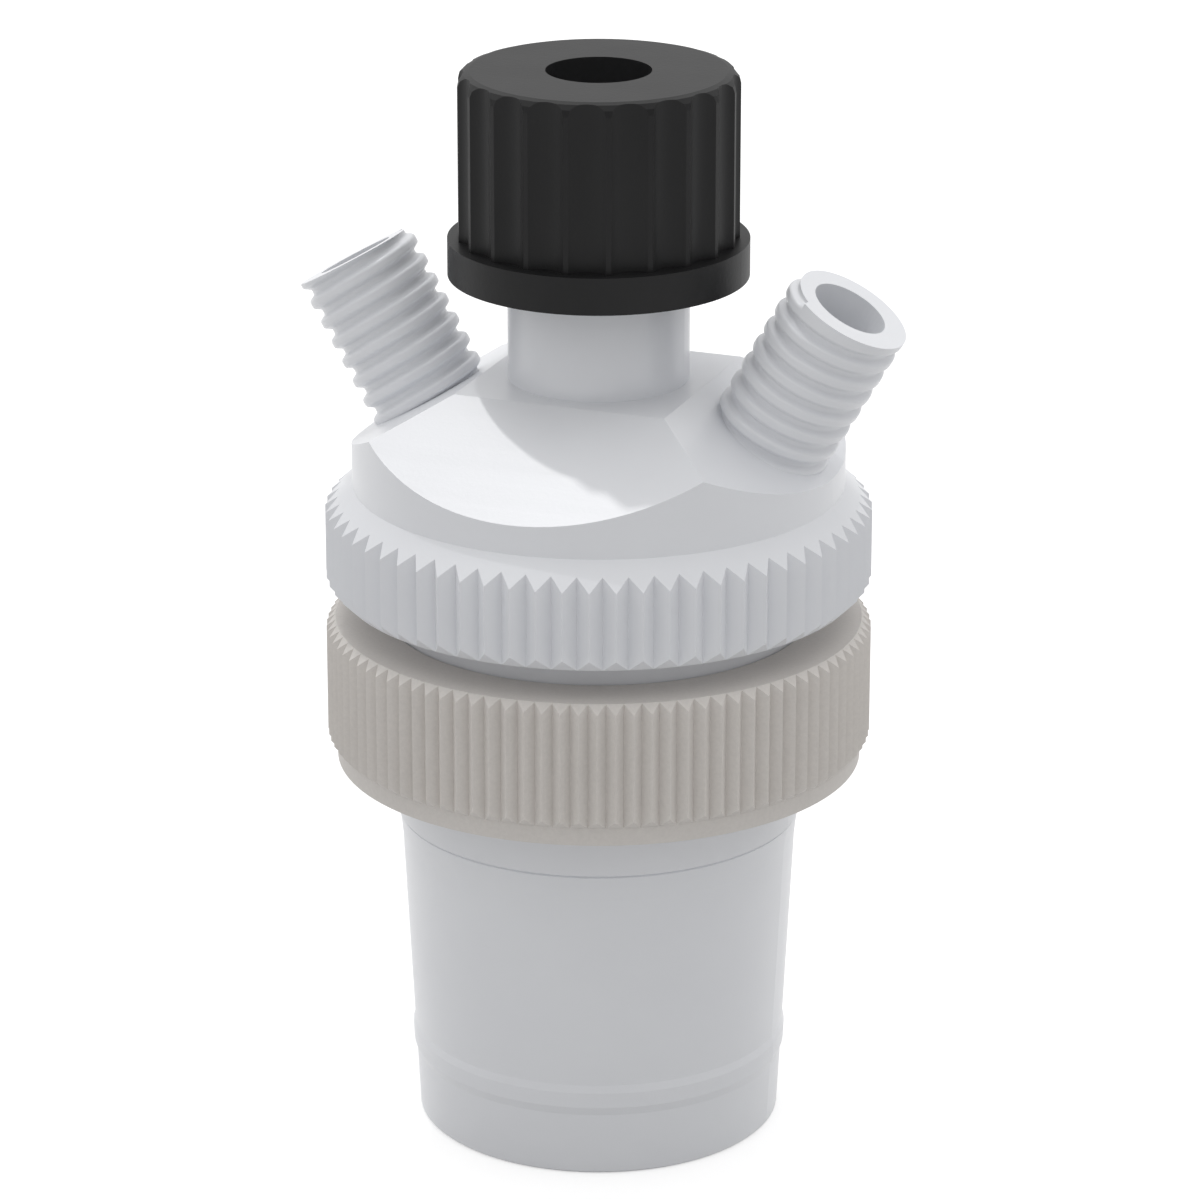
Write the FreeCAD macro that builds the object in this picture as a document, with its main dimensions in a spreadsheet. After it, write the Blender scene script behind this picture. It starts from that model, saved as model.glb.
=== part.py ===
import FreeCAD, Part
import Sketcher
import math
import os

# Distribution adapter for a 45/40 ground joint, in millimetres and degrees.
# +Z is the taper's axis and points up, and z = 0 is the taper's small end, on which the adapter stands.
# +X points to the right-hand side port, and -Y is the side with the plain front facet.

Vector = FreeCAD.Vector
document = FreeCAD.newDocument("DistributionAdapter")


# Driving dimensions, each of which can be set by itself

# Ground joint: a cone with a line round its large end, two low ribs and a cavity
gauge_radius = 22.5
gauge_height = 37.0
taper_ratio = 0.05
foot_chamfer = 0.3
low_rib_start = 7.4
low_rib_ramp = 1.0
low_rib_crest = 1.8
low_rib_fade = 0.9
low_rib_rise = 0.27
high_rib_height = 2.85
high_rib_rise = 0.2
line_width = 0.3
joint_wall = 4.65
cavity_past_line = 2.0
cavity_roof = 6.0

# Collar, shank and knurled flange
collar_step = 0.35
collar_height = 4.5
shank_step = 1.1
shank_length = 22.2
flange_step = 3.07
flange_height = 9.2
flange_slope = 2.9
flange_chamfer = 1.5
flange_teeth = 66
crest_flat = 0.01

# Head with four facets
barrel_step = 3.96
barrel_height = 12.1
facet_angle = 30
facet_count = 4
facet_edge = 2.2

# Tube, O-ring and clamping ring in their seat
tube_radius = 5.05
channel_clearance = 0.45
seal_section_radius = 1.2
seal_squeeze = 0.15
seal_clearance = 0.1
seal_headroom = 0.4
seat_flare = 2.6
seat_depth = 5.6
ring_clearance = 0.1
ring_lip = 4.0

# Neck and the spigot for the cap
spigot_wall = 2.2
spigot_step = 2.1
spigot_length = 11.5
neck_length = 14.6

# Side ports, which stand square on two of the facets
port_from_edge = 9.27
port_length = 17.85
port_thread_crest = 6.95
port_thread_depth = 0.8
port_pitch = 2.5
port_ridge_width = 1.9
port_thread_turn = 270
port_wall = 1.82
port_bore_depth = 20.0
port_channel_radius = 3.5
port_count = 2

# Removal nut
nut_clearance = 0.25
nut_wall = 6.84
nut_gap = 3.65
nut_height = 16.45
nut_band = 2.0
nut_chamfer = 1.05
nut_teeth = 96

# Screw cap
cap_clearance = 0.4
cap_wall = 2.94
cap_roof = 4.7
cap_height = 22.95
cap_hole_clearance = 0.79
brim_step = 1.16
brim_height = 4.15
grip_rounding = 1.4
flute_depth = 0.9
flute_radius = 3.1
flute_count = 21
flute_turn = 3.5

# How far a cut runs past the face it opens, and how far a piece that is added reaches into its ground
overrun = 1.0


# Radii and heights that follow from them

foot_radius = gauge_radius - gauge_height * taper_ratio
cavity_radius = foot_radius - joint_wall
cavity_top = gauge_height + cavity_past_line
collar_radius = gauge_radius + collar_step
collar_top = gauge_height + collar_height
shank_radius = gauge_radius + shank_step
flange_bottom = collar_top + shank_length
flange_crest_top = flange_bottom + flange_height
barrel_bottom = flange_crest_top + flange_slope
barrel_radius = shank_radius + barrel_step
flange_radius = barrel_radius + flange_step
head_top = barrel_bottom + barrel_height

channel_radius = tube_radius + channel_clearance
seat_throat_radius = tube_radius - seal_squeeze + 2 * seal_section_radius + seal_clearance
seat_mouth_radius = seat_throat_radius + seat_flare
spigot_radius = seat_mouth_radius + spigot_wall
neck_radius = spigot_radius - spigot_step
neck_top = head_top + neck_length
spigot_top = neck_top + spigot_length
seat_bottom = spigot_top - seat_depth
pocket_bottom = seat_bottom - 2 * seal_section_radius - seal_headroom

# A port's axis crosses its facet at port_across and port_height, and the main axis at port_origin
facet_reach = neck_radius + facet_edge
port_across = facet_reach + port_from_edge * math.cos(math.radians(facet_angle))
port_height = head_top - port_from_edge * math.sin(math.radians(facet_angle))
port_origin = port_height - port_across / math.tan(math.radians(facet_angle))
port_foot = port_across / math.sin(math.radians(facet_angle))
port_reach = port_foot + port_length
port_thread_root = port_thread_crest - port_thread_depth
port_bore_radius = port_thread_root - port_wall
port_core_radius = (port_bore_radius + port_thread_root) / 2

nut_bore_radius = shank_radius + nut_clearance
nut_radius = nut_bore_radius + nut_wall
nut_top = flange_bottom - nut_gap
nut_bottom = nut_top - nut_height

cap_bore_radius = spigot_radius + cap_clearance
cap_hole_radius = tube_radius + cap_hole_clearance
cap_ceiling = spigot_top + ring_lip
cap_top = cap_ceiling + cap_roof
cap_bottom = cap_top - cap_height
grip_radius = cap_bore_radius + cap_wall
brim_radius = grip_radius + brim_step
brim_top = cap_bottom + brim_height


# The sheet that drives every sketch and feature

sizes = dict(
    gauge_radius=gauge_radius, gauge_height=gauge_height, taper_ratio=taper_ratio,
    foot_chamfer=foot_chamfer, low_rib_start=low_rib_start, low_rib_ramp=low_rib_ramp,
    low_rib_crest=low_rib_crest, low_rib_fade=low_rib_fade, low_rib_rise=low_rib_rise,
    high_rib_height=high_rib_height, high_rib_rise=high_rib_rise, line_width=line_width,
    cavity_radius=cavity_radius,
    cavity_top=cavity_top, cavity_roof=cavity_roof, collar_radius=collar_radius,
    collar_top=collar_top, shank_radius=shank_radius, flange_bottom=flange_bottom,
    flange_radius=flange_radius, flange_crest_top=flange_crest_top,
    flange_chamfer=flange_chamfer, flange_teeth=flange_teeth, crest_flat=crest_flat,
    barrel_radius=barrel_radius, barrel_bottom=barrel_bottom, head_top=head_top,
    facet_reach=facet_reach, facet_angle=facet_angle, facet_count=facet_count,
    neck_radius=neck_radius, neck_top=neck_top, spigot_radius=spigot_radius,
    spigot_top=spigot_top, seat_mouth_radius=seat_mouth_radius,
    seat_throat_radius=seat_throat_radius, seat_bottom=seat_bottom,
    pocket_bottom=pocket_bottom, channel_radius=channel_radius, port_origin=port_origin,
    port_foot=port_foot, port_reach=port_reach, port_core_radius=port_core_radius,
    port_bore_radius=port_bore_radius, port_bore_depth=port_bore_depth,
    port_channel_radius=port_channel_radius, port_count=port_count,
    nut_bore_radius=nut_bore_radius, nut_radius=nut_radius, nut_bottom=nut_bottom,
    nut_top=nut_top, nut_band=nut_band, nut_chamfer=nut_chamfer, nut_teeth=nut_teeth,
    cap_bore_radius=cap_bore_radius, cap_hole_radius=cap_hole_radius, cap_bottom=cap_bottom,
    cap_ceiling=cap_ceiling, cap_top=cap_top, brim_radius=brim_radius, brim_top=brim_top,
    grip_radius=grip_radius, grip_rounding=grip_rounding, flute_depth=flute_depth,
    flute_radius=flute_radius, flute_count=flute_count, flute_turn=flute_turn,
    tube_radius=tube_radius, ring_clearance=ring_clearance,
    seal_section_radius=seal_section_radius, seal_clearance=seal_clearance, overrun=overrun,
)

sheet = document.addObject("Spreadsheet::Sheet", "sizes")
sheet.Label = "sizes"
for row, (name, number) in enumerate(sizes.items(), 1):
    sheet.set("A%d" % row, name)
    sheet.set("B%d" % row, str(round(number, 6)))
    sheet.setAlias("B%d" % row, name)
document.recompute()


# Sketches and features that several pieces share

def new_body(label):
    """A body whose label is the name of its piece."""
    body = document.addObject("PartDesign::Body", label)
    body.Label = label
    document.recompute()
    return body


def origin_item(body, role):
    """One of the body's own planes or axes."""
    return [item for item in body.Origin.OriginFeatures if item.Role == role][0]


def new_sketch(body, name, plane, height=None, turn=None):
    """A sketch on one of the body's planes. Height is along Z, and turn is in the sketch's plane."""
    sketch = body.newObject("Sketcher::SketchObject", name)
    sketch.AttachmentSupport = [(origin_item(body, plane), "")]
    sketch.MapMode = "FlatFace"
    if height:
        across_plane = "z" if plane == "XY_Plane" else "y"
        sketch.setExpression("AttachmentOffset.Base." + across_plane, height)
    if turn:
        sketch.setExpression("AttachmentOffset.Rotation.Angle", turn)
    return sketch


def fix_point(sketch, geometry, position, across, along):
    """Holds a point of the sketch at two expressions, where "0" means on the sketch's axis."""
    for kind, axis, place in (("DistanceX", -2, across), ("DistanceY", -1, along)):
        if place == "0":
            sketch.addConstraint(Sketcher.Constraint("PointOnObject", geometry, position, axis))
        else:
            index = sketch.addConstraint(Sketcher.Constraint(kind, -1, 1, geometry, position, 1.0))
            sketch.setExpression("Constraints[%d]" % index, place)


def draw_outline(sketch, corners):
    """A closed outline of straight lines through the corners (across, along)."""
    for number, (across, along) in enumerate(corners):
        sketch.addGeometry(Part.Point(Vector(number + 1, 1, 0)), True)
        fix_point(sketch, number, 1, across, along)
    document.recompute()
    places = [sketch.getPoint(number, 1) for number in range(len(corners))]
    for start in range(len(corners)):
        end = (start + 1) % len(corners)
        index = sketch.addGeometry(Part.LineSegment(places[start], places[end]))
        sketch.addConstraint(Sketcher.Constraint("Coincident", index, 1, start, 1))
        sketch.addConstraint(Sketcher.Constraint("Coincident", index, 2, end, 1))


def turned(body, name, corners, cut=False, height=None, turn=None):
    """Revolves an outline about its sketch's upright axis, to add material or to cut it away."""
    sketch = new_sketch(body, name + "_outline", "XZ_Plane", height, turn)
    draw_outline(sketch, corners)
    feature = body.newObject("PartDesign::Groove" if cut else "PartDesign::Revolution", name)
    feature.Profile = (sketch, [""])
    feature.ReferenceAxis = (sketch, ["V_Axis"])
    feature.Angle = 360
    document.recompute()
    return feature


def milled(body, name, sketch, length, both_ways=False):
    """Cuts a sketch's outline away over a length, upwards from a level sketch."""
    pocket = body.newObject("PartDesign::Pocket", name)
    pocket.Profile = (sketch, [""])
    pocket.setExpression("Length", length)
    if both_ways:
        pocket.Midplane = True
    else:
        pocket.Reversed = True
    document.recompute()
    return pocket


def repeated(body, name, feature, count):
    """Repeats a feature evenly about the piece's upright axis."""
    pattern = body.newObject("PartDesign::PolarPattern", name)
    pattern.Originals = [feature]
    pattern.Axis = (origin_item(body, "Z_Axis"), [""])
    pattern.Angle = 360
    pattern.setExpression("Occurrences", count)
    body.Tip = pattern
    document.recompute()
    return pattern


def knurled(body, name, radius, teeth, low, high, turn):
    """Straight 90 degree V grooves all round, whose flanks meet in sharp crests at the radius."""
    sketch = new_sketch(body, name + "_groove", "XY_Plane", low, turn)
    half_tooth = "180 / %s" % teeth
    root = "(%s - sizes.crest_flat) * (cos(%s) - sin(%s))" % (radius, half_tooth, half_tooth)
    mouth = "(%s + sizes.overrun)" % radius
    draw_outline(sketch, [
        (root, "0"),
        (mouth, "%s - %s" % (mouth, root)),
        (mouth, "%s - %s" % (root, mouth)),
    ])
    groove = milled(body, name, sketch, "%s - (%s)" % (high, low))
    return repeated(body, name + "_round", groove, teeth)


def helical_thread(root, crest, core, pitch, ridge_width, low, high, sections):
    """A sleeve about +Z with a rounded right-hand thread outside, from low to high."""
    half = ridge_width / 2
    depth = crest - root
    ridge = ((-1.0, 0.0), (-0.68, 0.55), (-0.33, 1.0), (0.33, 1.0), (0.68, 0.55), (1.0, 0.0))
    first_turn = int(low // pitch) - 2
    last_turn = int(high // pitch) + 1
    halves = []
    for side in range(2):
        outlines = []
        for step in range(sections // 2 + 1):
            angle = 180.0 * side + 360.0 * step / sections
            lift = pitch * angle / 360
            points = [Vector(core, 0, first_turn * pitch - half + lift)]
            for number in range(first_turn, last_turn + 1):
                middle = number * pitch + lift
                points += [Vector(root + depth * out, 0, middle + half * along) for along, out in ridge]
            points.append(Vector(core, 0, last_turn * pitch + half + lift))
            outline = Part.makePolygon(points + points[:1])
            outline.rotate(Vector(0, 0, 0), Vector(0, 0, 1), angle)
            outlines.append(outline)
        slab = Part.makeCylinder(crest + overrun, high - low, Vector(0, 0, low))
        halves.append(Part.makeLoft(outlines, True, True).common(slab))
    return halves[0].fuse(halves[1])


def taper_radius(height):
    """The ground joint's outer radius at a height, as an expression."""
    return "(sizes.gauge_radius - (sizes.gauge_height - (%s)) * sizes.taper_ratio)" % height


# Adapter body: one turned and milled piece with its taper, knurled flange, faceted head, neck and ports

def make_adapter_body():
    body = new_body("machined_body")

    crest_start = "sizes.low_rib_start + sizes.low_rib_ramp"
    crest_end = crest_start + " + sizes.low_rib_crest"
    low_rib_end = crest_end + " + sizes.low_rib_fade"
    line_bottom = "sizes.gauge_height - sizes.line_width / 2"
    high_rib_start = line_bottom + " - sizes.high_rib_height"
    turned(body, "blank", [
        ("0", "0"),
        (taper_radius("0") + " - sizes.foot_chamfer", "0"),
        (taper_radius("sizes.foot_chamfer"), "sizes.foot_chamfer"),
        (taper_radius("sizes.low_rib_start"), "sizes.low_rib_start"),
        (taper_radius(crest_start) + " + sizes.low_rib_rise", crest_start),
        (taper_radius(crest_end) + " + sizes.low_rib_rise", crest_end),
        (taper_radius(low_rib_end), low_rib_end),
        (taper_radius(high_rib_start), high_rib_start),
        (taper_radius(line_bottom) + " + sizes.high_rib_rise", line_bottom),
        ("sizes.gauge_radius", "sizes.gauge_height"),
        ("sizes.collar_radius", "sizes.gauge_height + sizes.line_width / 2"),
        ("sizes.collar_radius", "sizes.collar_top"),
        ("sizes.shank_radius", "sizes.collar_top + sizes.shank_radius - sizes.collar_radius"),
        ("sizes.shank_radius", "sizes.flange_bottom"),
        ("sizes.flange_radius - sizes.flange_chamfer", "sizes.flange_bottom"),
        ("sizes.flange_radius", "sizes.flange_bottom + sizes.flange_chamfer"),
        ("sizes.flange_radius", "sizes.flange_crest_top"),
        ("sizes.barrel_radius", "sizes.barrel_bottom"),
        ("sizes.barrel_radius", "sizes.head_top"),
        ("0", "sizes.head_top"),
    ])

    # The knurl is turned a quarter round, so that a crest lies on the X axis
    knurled(body, "flange_knurl", "sizes.flange_radius", "sizes.flange_teeth",
            "sizes.flange_bottom - sizes.overrun", "sizes.barrel_bottom", "90")

    facet_outside = "(sizes.barrel_radius + sizes.overrun)"
    facet_drop = "(%s - sizes.facet_reach) * tan(sizes.facet_angle)" % facet_outside
    facet = new_sketch(body, "facet_side", "XZ_Plane")
    draw_outline(facet, [
        ("sizes.facet_reach", "sizes.head_top"),
        (facet_outside, "sizes.head_top"),
        (facet_outside, "sizes.head_top - " + facet_drop),
    ])
    flat = milled(body, "facet", facet, "2 * " + facet_outside, both_ways=True)
    repeated(body, "facets", flat, "sizes.facet_count")

    turned(body, "neck", [
        ("0", "sizes.head_top - sizes.overrun"),
        ("sizes.neck_radius", "sizes.head_top - sizes.overrun"),
        ("sizes.neck_radius", "sizes.neck_top"),
        ("sizes.spigot_radius", "sizes.neck_top + sizes.spigot_radius - sizes.neck_radius"),
        ("sizes.spigot_radius", "sizes.spigot_top"),
        ("0", "sizes.spigot_top"),
    ])

    port = turned(body, "port_core", [
        ("0", "sizes.port_foot - 2 * sizes.overrun"),
        ("sizes.port_core_radius", "sizes.port_foot - 2 * sizes.overrun"),
        ("sizes.port_core_radius", "sizes.port_reach"),
        ("0", "sizes.port_reach"),
    ], height="sizes.port_origin", turn="-sizes.facet_angle")
    repeated(body, "port_cores", port, "sizes.port_count")

    turned(body, "cavity", [
        ("0", "-sizes.overrun"),
        ("sizes.cavity_radius", "-sizes.overrun"),
        ("sizes.cavity_radius", "sizes.cavity_top"),
        ("sizes.channel_radius", "sizes.cavity_top + sizes.cavity_roof"),
        ("0", "sizes.cavity_top + sizes.cavity_roof"),
    ], cut=True)

    turned(body, "channel", [
        ("0", "sizes.cavity_top"),
        ("sizes.channel_radius", "sizes.cavity_top"),
        ("sizes.channel_radius", "sizes.pocket_bottom"),
        ("sizes.seat_throat_radius", "sizes.pocket_bottom"),
        ("sizes.seat_throat_radius", "sizes.seat_bottom"),
        ("sizes.seat_mouth_radius", "sizes.spigot_top"),
        ("sizes.seat_mouth_radius", "sizes.spigot_top + sizes.overrun"),
        ("0", "sizes.spigot_top + sizes.overrun"),
    ], cut=True)

    bore_bottom = "sizes.port_reach - sizes.port_bore_depth"
    bore = turned(body, "port_bore", [
        ("0", "0"),
        ("sizes.port_channel_radius", "0"),
        ("sizes.port_channel_radius", bore_bottom),
        ("sizes.port_bore_radius", bore_bottom),
        ("sizes.port_bore_radius", "sizes.port_reach + sizes.overrun"),
        ("0", "sizes.port_reach + sizes.overrun"),
    ], cut=True, height="sizes.port_origin", turn="-sizes.facet_angle")
    repeated(body, "port_bores", bore, "sizes.port_count")

    # Port threads, which are coarse and rounded, so that a closure starts by hand
    sections_a_turn = 16
    thread = helical_thread(port_thread_root, port_thread_crest,
                            (port_bore_radius + port_core_radius) / 2, port_pitch,
                            port_ridge_width, port_foot - overrun, port_reach, sections_a_turn)
    threads = []
    for number in range(port_count):
        feature = document.addObject("Part::Feature", "port_thread_%d" % (number + 1))
        feature.Shape = thread
        around = FreeCAD.Rotation(Vector(0, 0, 1), 360.0 * number / port_count)
        tilt = FreeCAD.Rotation(Vector(0, 1, 0), facet_angle)
        start = FreeCAD.Rotation(Vector(0, 0, 1), port_thread_turn)
        feature.Placement = FreeCAD.Placement(Vector(0, 0, port_origin), around * tilt * start)
        threads.append(feature)

    whole = document.addObject("Part::MultiFuse", "adapter_body")
    whole.Label = "adapter_body"
    whole.Shapes = [body] + threads
    whole.Refine = False
    document.recompute()
    return whole


# Removal nut: turned down on the shank, it pushes the joint out of its socket

def make_removal_nut():
    body = new_body("removal_nut")
    edge = "sizes.nut_radius - sizes.nut_chamfer"
    turned(body, "nut_blank", [
        ("sizes.nut_bore_radius", "sizes.nut_bottom"),
        (edge, "sizes.nut_bottom"),
        (edge, "sizes.nut_bottom + sizes.nut_band"),
        ("sizes.nut_radius", "sizes.nut_bottom + sizes.nut_band + sizes.nut_chamfer"),
        ("sizes.nut_radius", "sizes.nut_top - sizes.nut_chamfer"),
        (edge, "sizes.nut_top"),
        ("sizes.nut_bore_radius", "sizes.nut_top"),
    ])
    knurled(body, "nut_knurl", "sizes.nut_radius", "sizes.nut_teeth",
            "sizes.nut_bottom - sizes.overrun", "sizes.nut_top + sizes.overrun", None)
    return body


# Screw cap: a fluted hole cap, whose ceiling presses on the clamping ring

def make_screw_cap():
    body = new_body("screw_cap")
    round_centre = "(sizes.grip_radius - sizes.grip_rounding)"
    round_height = "(sizes.cap_top - sizes.grip_rounding)"
    turned(body, "cap_blank", [
        ("sizes.cap_bore_radius", "sizes.cap_bottom"),
        ("sizes.brim_radius", "sizes.cap_bottom"),
        ("sizes.brim_radius", "sizes.brim_top"),
        ("sizes.grip_radius", "sizes.brim_top"),
        ("sizes.grip_radius", round_height),
        (round_centre + " + sizes.grip_rounding * cos(30)",
         round_height + " + sizes.grip_rounding * sin(30)"),
        (round_centre + " + sizes.grip_rounding * cos(60)",
         round_height + " + sizes.grip_rounding * sin(60)"),
        (round_centre, "sizes.cap_top"),
        ("sizes.cap_hole_radius", "sizes.cap_top"),
        ("sizes.cap_hole_radius", "sizes.cap_ceiling"),
        ("sizes.cap_bore_radius", "sizes.cap_ceiling"),
    ])
    flute = new_sketch(body, "flute_section", "XY_Plane", "sizes.brim_top",
                       "sizes.flute_turn + 180 / sizes.flute_count")
    flute.addGeometry(Part.Circle(Vector(grip_radius, 0, 0), Vector(0, 0, 1), flute_radius))
    fix_point(flute, 0, 3, "sizes.grip_radius - sizes.flute_depth + sizes.flute_radius", "0")
    index = flute.addConstraint(Sketcher.Constraint("Radius", 0, flute_radius))
    flute.setExpression("Constraints[%d]" % index, "sizes.flute_radius")
    groove = milled(body, "flute", flute, "sizes.cap_top - sizes.brim_top + sizes.overrun")
    repeated(body, "flutes", groove, "sizes.flute_count")
    return body


# Clamping ring: a conical ring that the cap presses down round a tube

def make_clamping_ring():
    body = new_body("clamping_ring")
    turned(body, "ring", [
        ("sizes.tube_radius", "sizes.seat_bottom"),
        ("sizes.seat_throat_radius - sizes.ring_clearance", "sizes.seat_bottom"),
        ("sizes.seat_mouth_radius - sizes.ring_clearance", "sizes.spigot_top"),
        ("sizes.seat_mouth_radius - sizes.ring_clearance", "sizes.cap_ceiling - sizes.ring_clearance"),
        ("sizes.tube_radius", "sizes.cap_ceiling - sizes.ring_clearance"),
    ])
    return body


# Sealing ring: an O-ring in the pocket under the clamping ring, its round section drawn with six sides

def make_sealing_ring():
    body = new_body("sealing_ring")
    middle = "sizes.seat_throat_radius - sizes.seal_clearance - sizes.seal_section_radius"
    height = "sizes.pocket_bottom + sizes.seal_section_radius + sizes.seal_clearance / 2"
    corner = "%s + sizes.seal_section_radius * %s(%d)"
    section = []
    for angle in range(0, 360, 60):
        section.append((corner % (middle, "cos", angle), corner % (height, "sin", angle)))
    turned(body, "seal", section)
    return body


pieces = [
    make_adapter_body(),
    make_removal_nut(),
    make_screw_cap(),
    make_clamping_ring(),
    make_sealing_ring(),
]
document.recompute()


# Checks and files

for item in document.Objects:
    if "Invalid" in item.State or "Error" in item.State:
        raise RuntimeError("%s failed to build" % item.Label)
for piece in pieces:
    if piece.Shape.isNull() or not piece.Shape.isValid() or len(piece.Shape.Solids) != 1:
        raise RuntimeError("%s is not one sound solid" % piece.Label)

os.makedirs("parts", exist_ok=True)
for piece in pieces:
    piece.Shape.exportStep("parts/%s.step" % piece.Label)
    print(piece.Label, round(piece.Shape.Volume, 1), "cubic mm")
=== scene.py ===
import math
from collections import namedtuple

import bmesh
import bpy
from mathutils import Matrix, Vector


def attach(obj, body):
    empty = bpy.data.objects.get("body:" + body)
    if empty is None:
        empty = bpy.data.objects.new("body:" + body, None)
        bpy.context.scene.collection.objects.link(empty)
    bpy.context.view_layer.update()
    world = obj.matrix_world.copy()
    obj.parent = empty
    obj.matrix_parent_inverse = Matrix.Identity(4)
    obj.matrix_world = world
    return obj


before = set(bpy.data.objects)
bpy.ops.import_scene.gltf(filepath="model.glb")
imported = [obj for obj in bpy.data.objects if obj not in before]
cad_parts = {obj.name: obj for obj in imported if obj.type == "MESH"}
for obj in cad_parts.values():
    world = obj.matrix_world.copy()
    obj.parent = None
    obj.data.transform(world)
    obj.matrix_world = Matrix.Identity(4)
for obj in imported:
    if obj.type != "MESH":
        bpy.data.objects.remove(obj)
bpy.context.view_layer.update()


# Material helpers

def new_material(name):
    """An empty node material with a Principled shader, and its node tree."""
    material = bpy.data.materials.new(name)
    material.use_nodes = True
    tree = material.node_tree
    shader = tree.nodes["Principled BSDF"]
    return material, tree, shader


def add_node(tree, kind, **settings):
    """A node of a kind in a tree, with its settings."""
    node = tree.nodes.new(kind)
    for name, value in settings.items():
        setattr(node, name, value)
    return node


def stretched_noise(tree, scale, stretch=(1.0, 1.0, 1.0), detail=4.0, roughness=0.55):
    """Noise in the object's own coordinates, stretched along each axis. Returns its output."""
    place = add_node(tree, "ShaderNodeTexCoord")
    mapping = add_node(tree, "ShaderNodeMapping")
    mapping.inputs["Scale"].default_value = stretch
    noise = add_node(tree, "ShaderNodeTexNoise")
    noise.inputs["Scale"].default_value = scale
    noise.inputs["Detail"].default_value = detail
    noise.inputs["Roughness"].default_value = roughness
    tree.links.new(place.outputs["Object"], mapping.inputs["Vector"])
    tree.links.new(mapping.outputs["Vector"], noise.inputs["Vector"])
    return noise.outputs["Fac"]


def colour_between(tree, source, darker, lighter, start=0.3, end=0.7):
    """A colour that goes from darker to lighter while a source goes from start to end."""
    ramp = add_node(tree, "ShaderNodeValToRGB")
    for element, position, colour in zip(ramp.color_ramp.elements, (start, end), (darker, lighter)):
        element.position = position
        element.color = (*colour, 1.0)
    tree.links.new(source, ramp.inputs["Fac"])
    return ramp.outputs["Color"]


def value_between(tree, source, low, high):
    """A source between 0 and 1 brought to a range of values."""
    node = add_node(tree, "ShaderNodeMapRange")
    node.inputs["To Min"].default_value = low
    node.inputs["To Max"].default_value = high
    tree.links.new(source, node.inputs["Value"])
    return node.outputs["Result"]


def distance_from_axis(tree, inner, outer):
    """A value that goes from 0 to 1 between two distances, in metres, from the object's Z axis."""
    place = add_node(tree, "ShaderNodeTexCoord")
    flat = add_node(tree, "ShaderNodeVectorMath", operation="MULTIPLY")
    flat.inputs[1].default_value = (1.0, 1.0, 0.0)
    reach = add_node(tree, "ShaderNodeVectorMath", operation="LENGTH")
    ramp = add_node(tree, "ShaderNodeMapRange")
    ramp.inputs["From Min"].default_value = inner
    ramp.inputs["From Max"].default_value = outer
    tree.links.new(place.outputs["Object"], flat.inputs[0])
    tree.links.new(flat.outputs["Vector"], reach.inputs[0])
    tree.links.new(reach.outputs["Value"], ramp.inputs["Value"])
    return ramp.outputs["Result"]


def multiply(tree, first, second):
    """Two colours or values multiplied. Returns the colour."""
    mix = add_node(tree, "ShaderNodeMix", data_type="RGBA", blend_type="MULTIPLY")
    mix.inputs["Factor"].default_value = 1.0
    inputs = [socket for socket in mix.inputs if socket.type == "RGBA"]
    tree.links.new(first, inputs[0])
    tree.links.new(second, inputs[1])
    return next(socket for socket in mix.outputs if socket.type == "RGBA")


def add_bump(tree, shader, layers):
    """Chains bump layers of (source, height in metres) into the shader's normal."""
    previous = None
    for source, height in layers:
        bump = add_node(tree, "ShaderNodeBump")
        bump.inputs["Strength"].default_value = 1.0
        bump.inputs["Distance"].default_value = height
        tree.links.new(source, bump.inputs["Height"])
        if previous is not None:
            tree.links.new(previous, bump.inputs["Normal"])
        previous = bump.outputs["Normal"]
    tree.links.new(previous, shader.inputs["Normal"])


# Materials

# The nut's knurl, in metres from its axis, between which the painted shade in its grooves fades out
knurl_root = 0.0296
knurl_crest = 0.0307


def white_ptfe():
    """Turned PTFE: satin white, faintly waxy, with fine rings from the lathe."""
    material, tree, shader = new_material("turned_white_ptfe")
    rings = stretched_noise(tree, scale=900.0, stretch=(0.02, 0.02, 1.0), detail=3.0)
    clouds = stretched_noise(tree, scale=60.0, detail=5.0)
    grain = stretched_noise(tree, scale=2600.0, detail=2.0)
    colour = colour_between(tree, clouds, darker=(0.785, 0.795, 0.825), lighter=(0.81, 0.822, 0.85))
    tree.links.new(colour, shader.inputs["Base Color"])
    tree.links.new(value_between(tree, rings, 0.285, 0.315), shader.inputs["Roughness"])
    shader.inputs["Specular IOR Level"].default_value = 0.5
    add_bump(tree, shader, [(rings, 0.00001), (grain, 0.000006)])
    return material


def beige_filled_ptfe():
    """Glass-filled PTFE: matte greige with a fine fleck of fibres, and painted shade that darkens it down in
    the knurl's grooves.
    """
    material, tree, shader = new_material("glass_filled_beige_ptfe")
    fleck = stretched_noise(tree, scale=2200.0, detail=3.0, roughness=0.6)
    clouds = stretched_noise(tree, scale=90.0)
    base = colour_between(tree, clouds, darker=(0.722, 0.688, 0.654), lighter=(0.750, 0.716, 0.682))
    flecks = colour_between(tree, fleck, darker=(0.95, 0.95, 0.95), lighter=(1.0, 1.0, 1.0),
                            start=0.35, end=0.65)
    # Painted shade: the colour darkens towards the knurl's roots, where the grooves fall into shade
    painted_groove_shade = value_between(tree, distance_from_axis(tree, knurl_root, knurl_crest), 0.92, 1.0)
    colour = multiply(tree, multiply(tree, base, flecks), painted_groove_shade)
    tree.links.new(colour, shader.inputs["Base Color"])
    tree.links.new(value_between(tree, fleck, 0.45, 0.65), shader.inputs["Roughness"])
    shader.inputs["Specular IOR Level"].default_value = 0.3
    add_bump(tree, shader, [(fleck, 0.000012)])
    return material


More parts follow.
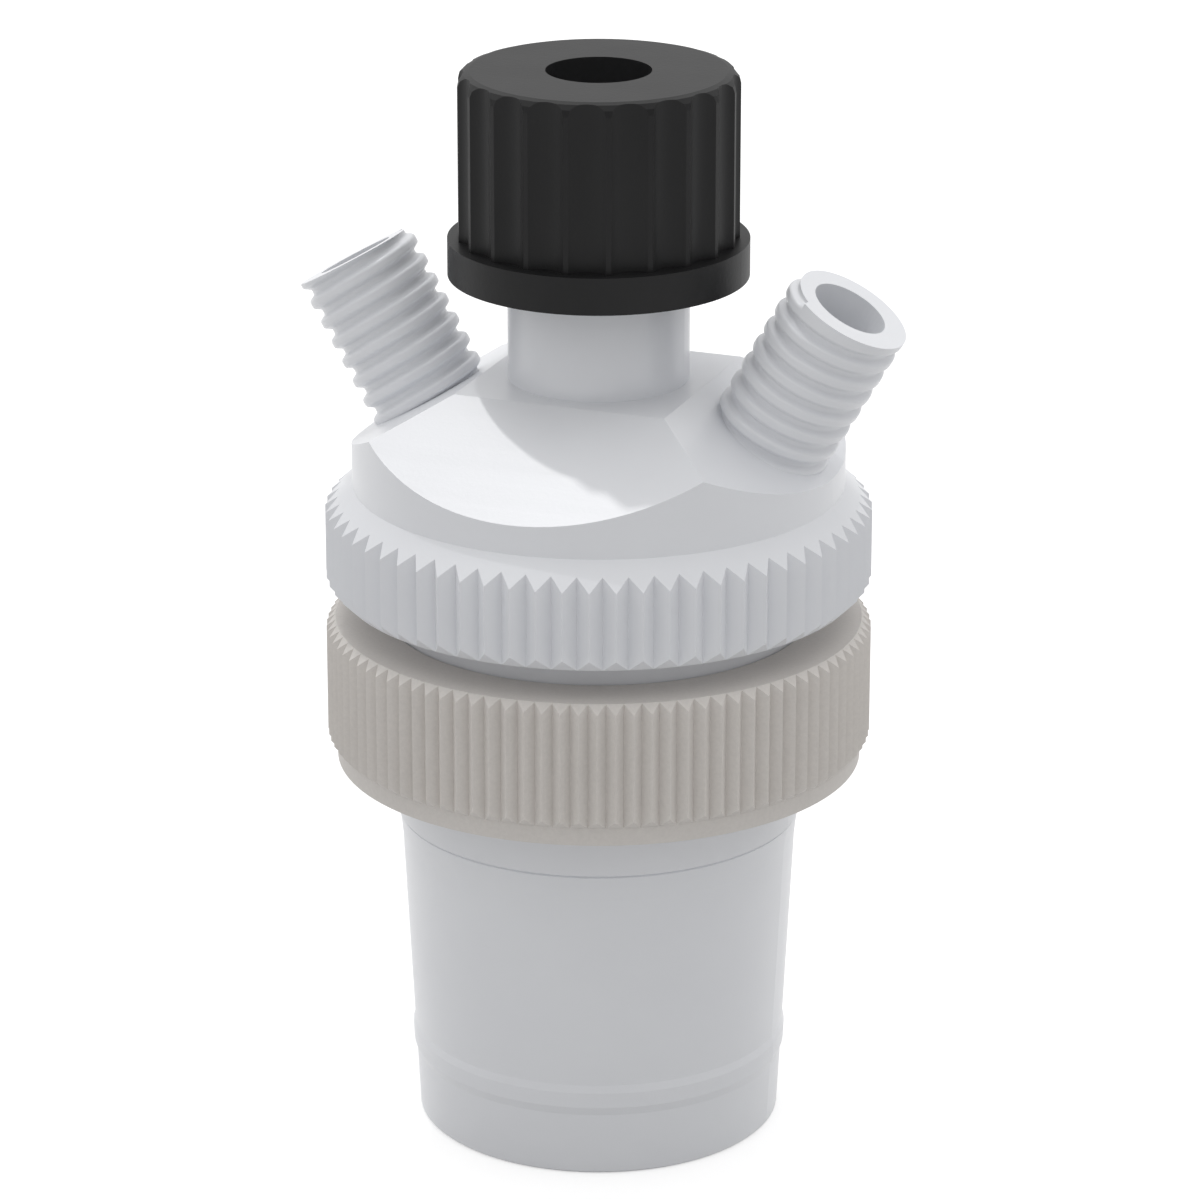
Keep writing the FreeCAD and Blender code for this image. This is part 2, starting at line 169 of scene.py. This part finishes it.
def black_plastic():
    """Moulded black plastic: satin, with a very fine moulded grain."""
    material, tree, shader = new_material("moulded_black_plastic")
    grain = stretched_noise(tree, scale=1800.0, detail=3.0)
    clouds = stretched_noise(tree, scale=120.0, stretch=(1.0, 1.0, 0.4))
    colour = colour_between(tree, clouds, darker=(0.010, 0.010, 0.0105), lighter=(0.016, 0.016, 0.0165))
    tree.links.new(colour, shader.inputs["Base Color"])
    tree.links.new(value_between(tree, clouds, 0.40, 0.50), shader.inputs["Roughness"])
    shader.inputs["Specular IOR Level"].default_value = 0.21
    add_bump(tree, shader, [(grain, 0.000015)])
    return material


def dark_elastomer():
    """The O-ring's rubber: dull and nearly black."""
    material, tree, shader = new_material("dark_elastomer")
    grain = stretched_noise(tree, scale=2200.0, detail=2.0)
    colour = colour_between(tree, grain, darker=(0.02, 0.02, 0.02), lighter=(0.035, 0.035, 0.035))
    tree.links.new(colour, shader.inputs["Base Color"])
    tree.links.new(value_between(tree, grain, 0.6, 0.75), shader.inputs["Roughness"])
    add_bump(tree, shader, [(grain, 0.00001)])
    return material


def dress(node, material):
    """Gives a CAD node its material on every slot."""
    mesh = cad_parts[node].data
    if not mesh.materials:
        mesh.materials.append(material)
    for number in range(len(mesh.materials)):
        mesh.materials[number] = material


ptfe = white_ptfe()
dress("adapter_body", ptfe)
dress("clamping_ring", ptfe)
dress("removal_nut", beige_filled_ptfe())
dress("screw_cap", black_plastic())
dress("sealing_ring", dark_elastomer())


# Threads: fine turned surfaces over the solids' plainer ones, in millimetres

millimetre = 0.001

# A right-hand thread about +Z from low to high. Its ridge is a list of (distance from the crest, height
# as a share of the depth). It rises and dies away over the fade, and has a flat mouth where a bore is given.
# Its surface has so many steps around the axis, and so many lines along the axis in each pitch.
Thread = namedtuple("Thread", "root depth pitch ridge low high fade bore around lines")

# The port's mouth: the width of its edge into the bore, and how far down the bore its surface reaches
mouth_edge = 0.12
mouth_reach = 2.0

# Edges sharper than this, in degrees, stay sharp, and edges shorter than this, in metres, are closed up
sharp_angle = 40.0
shortest_edge = 1e-8


def ridge_height(place, ridge):
    """Height of a ridge at a distance from its crest, on a smooth curve through the ridge's points."""
    place = abs(place)
    for number in range(len(ridge) - 1):
        start, end = ridge[number], ridge[number + 1]
        if place <= end[0]:
            before = ridge[number - 1] if number else (-end[0], end[1])
            after = ridge[number + 2] if number + 2 < len(ridge) else (2 * end[0] - start[0], start[1])
            width = end[0] - start[0]
            slope_in = (end[1] - before[1]) / (end[0] - before[0]) * width
            slope_out = (after[1] - start[1]) / (after[0] - start[0]) * width
            t = (place - start[0]) / width
            return ((2 * t ** 3 - 3 * t ** 2 + 1) * start[1] + (t ** 3 - 2 * t ** 2 + t) * slope_in
                    + (3 * t ** 2 - 2 * t ** 3) * end[1] + (t ** 3 - t ** 2) * slope_out)
    return ridge[-1][1]


def thread_radius(thread, angle, height):
    """Distance from the axis of a thread's surface. A groove whose middle lies past the mouth is closed."""
    crests = (height - thread.pitch * angle / (2 * math.pi)) / thread.pitch
    groove = height - (crests - math.floor(crests) - 0.5) * thread.pitch
    if thread.bore is not None and groove > thread.high:
        return thread.root + thread.depth
    rise = ridge_height((crests - round(crests)) * thread.pitch, thread.ridge)
    if thread.fade:
        rise *= min(1.0, max(0.0, (height - thread.low) / thread.fade))
        rise *= min(1.0, max(0.0, (thread.high - height) / thread.fade))
    return thread.root + thread.depth * rise


def around_axis(radius, angle, height):
    """A point at a distance from +Z, an angle about it and a height along it."""
    return (radius * math.cos(angle), radius * math.sin(angle), height)


def thread_side(thread):
    """Vertices and faces of a thread's side, in lines that follow the helix and end at low and high."""
    vertices, faces = [], []
    first = math.floor(thread.low / thread.pitch * thread.lines) - thread.lines - 1
    last = math.ceil(thread.high / thread.pitch * thread.lines) + 1
    count = last - first + 1
    for step in range(thread.around):
        angle = 2 * math.pi * step / thread.around
        for line in range(first, last + 1):
            height = thread.pitch * line / thread.lines + thread.pitch * angle / (2 * math.pi)
            height = min(thread.high, max(thread.low, height))
            vertices.append(around_axis(thread_radius(thread, angle, height), angle, height))
    for step in range(thread.around):
        following = (step + 1) % thread.around
        shift = thread.lines if following == 0 else 0
        for line in range(count - 1 - shift):
            corners = [step * count + line, following * count + line + shift,
                       following * count + line + shift + 1, step * count + line + 1]
            heights = [vertices[corner][2] for corner in corners]
            if min(heights) < thread.high and max(heights) > thread.low:
                faces.append(corners)
    return vertices, faces


def thread_mouth(thread, base):
    """Vertices and faces, numbered from base, of a flat mouth that turns down into the bore."""
    vertices, faces = [], []
    inner_rings = [(thread.bore + mouth_edge, thread.high), (thread.bore, thread.high - mouth_edge),
                   (thread.bore, thread.high - mouth_reach)]
    rings = len(inner_rings) + 1
    for step in range(thread.around):
        angle = 2 * math.pi * step / thread.around
        rim = (thread_radius(thread, angle, thread.high), thread.high)
        vertices += [around_axis(radius, angle, height) for radius, height in [rim] + inner_rings]
    for step in range(thread.around):
        start = base + step * rings
        following = base + (step + 1) % thread.around * rings
        for ring in range(rings - 1):
            faces.append([start + ring, following + ring, following + ring + 1, start + ring + 1])
    return vertices, faces


def turned_thread(name, thread):
    """A thread as a smooth mesh object."""
    vertices, faces = thread_side(thread)
    if thread.bore is not None:
        mouth_vertices, mouth_faces = thread_mouth(thread, len(vertices))
        vertices += mouth_vertices
        faces += mouth_faces
    mesh = bpy.data.meshes.new(name)
    mesh.from_pydata([Vector(place) * millimetre for place in vertices], [], faces)
    mesh.validate()
    work = bmesh.new()
    work.from_mesh(mesh)
    bmesh.ops.dissolve_degenerate(work, dist=shortest_edge, edges=work.edges[:])
    loose = [vertex for vertex in work.verts if not vertex.link_faces]
    bmesh.ops.delete(work, geom=loose, context="VERTS")
    work.to_mesh(mesh)
    work.free()
    mesh.polygons.foreach_set("use_smooth", [True] * len(mesh.polygons))
    mesh.set_sharp_from_angle(angle=math.radians(sharp_angle))
    return bpy.data.objects.new(name, mesh)


def add_to_adapter(piece, material, place):
    """Gives a piece its material and place, and lets it move with the adapter."""
    piece.data.materials.append(material)
    piece.matrix_world = place
    bpy.context.scene.collection.objects.link(piece)
    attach(piece, "adapter")


def turned(degrees, axis):
    """A turn about one of the axes, as a matrix."""
    return Matrix.Rotation(math.radians(degrees), 4, axis)


# The solids' side ports. A port's axis leaves the adapter's axis at port_start and leans out by port_tilt
# degrees. Along it, the thread runs from port_low, just inside the facet, to the mouth at port_reach, and
# about it a crest passes through port_start at port_thread_start degrees.
port_start = 48.0558
port_tilt = 30.0
port_thread_start = 270.0
port_low = 40.4
port_reach = 58.506
port_root = 6.15
port_bore = 4.33
port_pitch = 2.5
port_depth = 0.8

# The scene's threads cover the solids' ridges, mouths and bores by so much
ridge_cover = 0.02
mouth_cover = 0.006
bore_cover = 0.005

port_ridge = [(0.0, 1.0), (0.34, 0.985), (0.52, 0.86), (0.68, 0.56), (0.86, 0.15), (0.97, 0.02), (1.25, 0.0)]
port_thread = Thread(root=port_root + ridge_cover, depth=port_depth, pitch=port_pitch, ridge=port_ridge,
                     low=port_low, high=port_reach + mouth_cover, fade=0.0, bore=port_bore - bore_cover,
                     around=90, lines=20)
for name, side in (("right_port_thread", 0.0), ("left_port_thread", 180.0)):
    place = Matrix.Translation((0.0, 0.0, port_start * millimetre))
    lean = turned(side, "Z") @ turned(port_tilt, "Y") @ turned(port_thread_start, "Z")
    add_to_adapter(turned_thread(name, port_thread), ptfe, place @ lean)

# The spigot's thread, which shows only when the cap is up
spigot_ridge = [(0.0, 1.0), (0.45, 0.93), (0.9, 0.45), (1.35, 0.04), (1.75, 0.0)]
spigot_thread = Thread(root=12.205, depth=0.3, pitch=3.5, ridge=spigot_ridge, low=104.9, high=113.6, fade=1.2,
                       bore=None, around=120, lines=12)
add_to_adapter(turned_thread("spigot_thread", spigot_thread), ptfe, Matrix.Identity(4))


# Floor, light and camera, in metres and degrees

# The photo is taken from this side, to the right of the plain front facet
view_angle = math.radians(21.0)
to_right = Vector((math.cos(view_angle), math.sin(view_angle), 0.0))
to_camera = Vector((math.sin(view_angle), -math.cos(view_angle), 0.0))
upward = Vector((0.0, 0.0, 1.0))

table_size = 8.0
table_gap = 0.0001
table_grey = 0.55
table_lift = 0.60

# Strength of the sky at the horizon and overhead, and the share of it that comes from the camera's side
horizon_strength = 0.55
overhead_strength = 1.22
camera_side_share = 0.70

# Places of the lamp and the camera: to the right, nearer to the camera, and above the table
lamp_place = (-0.27, -0.31, 1.10)
camera_place = (0.000141, 0.57693, 0.2675)

lamp_size = 0.03
lamp_power = 1.25
lamp_target = (0.0, 0.0, 0.09)

camera_lens = 163.1
camera_sensor = 36.0
camera_pitch = 19.66


def seen_from_camera(right, nearer, height):
    """A place given to the right of the axis, nearer to the camera, and above the table."""
    return to_right * right + to_camera * nearer + upward * height


def table_top():
    """A large white table top that keeps the object's shadow."""
    bpy.ops.mesh.primitive_plane_add(size=table_size, location=(0.0, 0.0, -table_gap))
    table = bpy.context.object
    table.name = "table_top"
    material, tree, shader = new_material("white_table_top")
    shader.inputs["Base Color"].default_value = (table_grey, table_grey, table_grey, 1.0)
    shader.inputs["Roughness"].default_value = 0.75
    shader.inputs["Specular IOR Level"].default_value = 0.1
    path = add_node(tree, "ShaderNodeLightPath")
    seen = add_node(tree, "ShaderNodeMath", operation="MAXIMUM")
    either = add_node(tree, "ShaderNodeMath", operation="MAXIMUM")
    lift = add_node(tree, "ShaderNodeMath", operation="MULTIPLY")
    lift.inputs[1].default_value = table_lift
    glow = add_node(tree, "ShaderNodeEmission")
    both = add_node(tree, "ShaderNodeAddShader")
    output = tree.nodes["Material Output"]
    tree.links.new(path.outputs["Is Camera Ray"], seen.inputs[0])
    tree.links.new(path.outputs["Is Glossy Ray"], seen.inputs[1])
    tree.links.new(seen.outputs["Value"], either.inputs[0])
    tree.links.new(path.outputs["Is Transmission Ray"], either.inputs[1])
    tree.links.new(either.outputs["Value"], lift.inputs[0])
    tree.links.new(lift.outputs["Value"], glow.inputs["Strength"])
    tree.links.new(shader.outputs["BSDF"], both.inputs[0])
    tree.links.new(glow.outputs["Emission"], both.inputs[1])
    tree.links.new(both.outputs["Shader"], output.inputs["Surface"])
    table.data.materials.append(material)


def studio_world():
    """Soft white light from all round, brighter overhead and behind than at the sides and in front."""
    world = bpy.data.worlds.new("studio")
    bpy.context.scene.world = world
    world.use_nodes = True
    tree = world.node_tree
    background = tree.nodes["Background"]
    background.inputs["Color"].default_value = (1.0, 1.0, 1.0, 1.0)
    place = add_node(tree, "ShaderNodeTexCoord")
    parts = add_node(tree, "ShaderNodeSeparateXYZ")
    height = add_node(tree, "ShaderNodeMapRange")
    height.inputs["To Min"].default_value = horizon_strength
    height.inputs["To Max"].default_value = overhead_strength
    front = add_node(tree, "ShaderNodeVectorMath", operation="DOT_PRODUCT")
    front.inputs[1].default_value = to_camera
    side = add_node(tree, "ShaderNodeMapRange", clamp=False)
    side.inputs["To Min"].default_value = 1.0
    side.inputs["To Max"].default_value = camera_side_share
    product = add_node(tree, "ShaderNodeMath", operation="MULTIPLY")
    tree.links.new(place.outputs["Generated"], parts.inputs["Vector"])
    tree.links.new(parts.outputs["Z"], height.inputs["Value"])
    tree.links.new(place.outputs["Generated"], front.inputs[0])
    tree.links.new(front.outputs["Value"], side.inputs["Value"])
    tree.links.new(height.outputs["Result"], product.inputs[0])
    tree.links.new(side.outputs["Result"], product.inputs[1])
    tree.links.new(product.outputs["Value"], background.inputs["Strength"])


def key_lamp(place):
    """A small round lamp behind the object, whose gleam lies on the front facet."""
    lamp = bpy.data.lights.new("key_light", "AREA")
    lamp.shape = "DISK"
    lamp.size = lamp_size
    lamp.energy = lamp_power
    holder = bpy.data.objects.new("key_light", lamp)
    holder.location = place
    holder.rotation_euler = (Vector(lamp_target) - place).to_track_quat("-Z", "Y").to_euler()
    bpy.context.scene.collection.objects.link(holder)


def photo_camera(place):
    """The photo's camera, level to the left and right."""
    data = bpy.data.cameras.new("camera")
    data.sensor_width = camera_sensor
    data.lens = camera_lens
    data.clip_start = 0.01
    data.clip_end = 20.0
    camera = bpy.data.objects.new("camera", data)
    camera.location = place
    camera.rotation_euler = (math.radians(90.0 - camera_pitch), 0.0, view_angle)
    bpy.context.scene.collection.objects.link(camera)
    bpy.context.scene.camera = camera


table_top()
studio_world()
key_lamp(seen_from_camera(*lamp_place))
photo_camera(seen_from_camera(*camera_place))

bpy.context.scene.view_settings.view_transform = "Standard"
